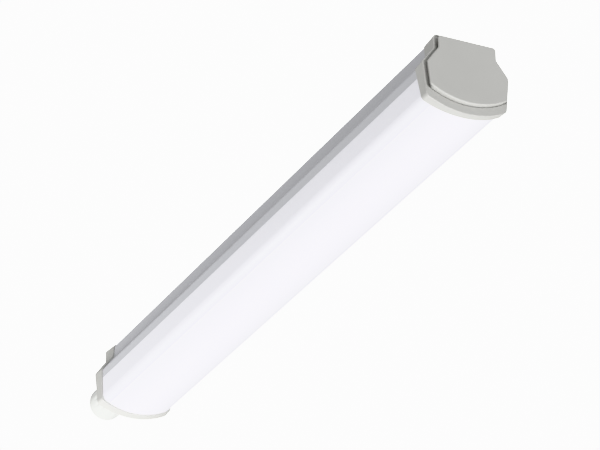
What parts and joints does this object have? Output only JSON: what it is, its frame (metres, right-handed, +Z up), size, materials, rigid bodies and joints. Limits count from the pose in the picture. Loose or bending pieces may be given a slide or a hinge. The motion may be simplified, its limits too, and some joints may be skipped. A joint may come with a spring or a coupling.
{
  "type": "led strip batten",
  "caption": "Ceiling LED batten with opal diffuser, grey housing, closed end collars, clip mounting and an outside cable connector.",
  "frame": {"origin": "midway between the two mounting clips' screw holes, on the ceiling plane", "axes": "+X along the batten towards the blank end, -X towards the cable connector, +Z up into the ceiling; the diffuser faces -Z"},
  "size_m": [0.661, 0.0698, 0.06],
  "materials": {
    "housing_grey": "fine satin, light grey polycarbonate",
    "opal": "opal, lit from inside",
    "collar_grey": "fine spark texture, warm light grey",
    "connector_grey": "satin, pale grey nylon",
    "seal_rubber": "soft black",
    "seal_clear": "soft translucent silicone",
    "steel": "zinc plated",
    "spring_steel": "stainless, rolled",
    "tray_white": "white powder coat",
    "board_white": "white solder mask",
    "led": "yellow phosphor",
    "board_green": "green solder mask",
    "driver_plastic": "white, fine texture",
    "terminal_plastic": "natural nylon",
    "ferrite": "dark ferrite and yellow tape",
    "capacitor_can": "sleeved aluminium can",
    "brass": "turned",
    "wire_brown": "PVC",
    "wire_blue": "PVC",
    "wire_earth": "PVC, green with a yellow stripe",
    "wire_red": "PVC",
    "wire_black": "PVC"
  },
  "bodies": {
    "batten": {"housing_profile": "housing_grey", "diffuser": "opal", "diffuser_seals": "seal_clear", "end_collar_near": "collar_grey", "end_collar_far": "collar_grey", "end_seal_near": "seal_rubber", "end_seal_far": "seal_rubber", "end_screws_near": "steel", "end_screws_far": "steel", "gear_tray": "tray_white", "led_board_near": "board_white", "led_board_far": "board_white", "led_packages_near": "led", "led_packages_far": "led", "board_connectors": "terminal_plastic", "board_screws": "steel", "tray_grommet": "seal_rubber", "driver_base": "driver_plastic", "driver_cover": "driver_plastic", "driver_circuit_board": "board_green", "driver_transformer": "ferrite", "driver_capacitors": "capacitor_can", "driver_input_terminal": "terminal_plastic", "driver_output_terminal": "terminal_plastic", "driver_screws": "steel", "connector_body": "connector_grey", "connector_seal": "seal_rubber", "connector_locknut": "connector_grey", "terminal_insert": "terminal_plastic", "terminal_contacts": "brass", "wire_live": "wire_brown", "wire_neutral": "wire_blue", "wire_earth": "wire_earth", "wire_dc_plus": "wire_red", "wire_dc_minus": "wire_black", "link_wires": "wire_red", "earth_tag": "steel", "earth_screw": "steel"},
    "near_cover": {"end_cover_near": "collar_grey"},
    "far_cover": {"end_cover_far": "collar_grey"},
    "clip_near": {"mounting_clip_near": "spring_steel"},
    "clip_far": {"mounting_clip_far": "spring_steel"},
    "cable_seal": {"thrust_ring": "connector_grey", "cable_grommet": "seal_rubber"},
    "cable_nut": {"cable_nut": "connector_grey"}
  },
  "joints": [
    {"name": "near_cover_pull", "type": "slide", "parent": "batten", "child": "near_cover", "axis": [1, 0, 0], "range_m": [0, 0.02]},
    {"name": "far_cover_pull", "type": "slide", "parent": "batten", "child": "far_cover", "axis": [-1, 0, 0], "range_m": [0, 0.02]},
    {"name": "clip_near_slide", "type": "slide", "parent": "batten", "child": "clip_near", "axis": [1, 0, 0], "range_m": [-0.05, 0.05]},
    {"name": "clip_far_slide", "type": "slide", "parent": "batten", "child": "clip_far", "axis": [1, 0, 0], "range_m": [-0.05, 0.05]},
    {"name": "cable_seal_travel", "type": "slide", "parent": "batten", "child": "cable_seal", "axis": [-1, 0, 0], "range_m": [0, 0.0046]},
    {"name": "cable_nut_turn", "type": "hinge", "parent": "cable_seal", "child": "cable_nut", "pos_m": [-0.33, 0, -0.023], "axis": [-1, 0, 0], "range_deg": [0, 1080]}
  ],
  "couplings": [
    {"joint": "cable_seal_travel", "follows": "cable_nut_turn", "m_per_rad": 0.00023873}
  ]
}
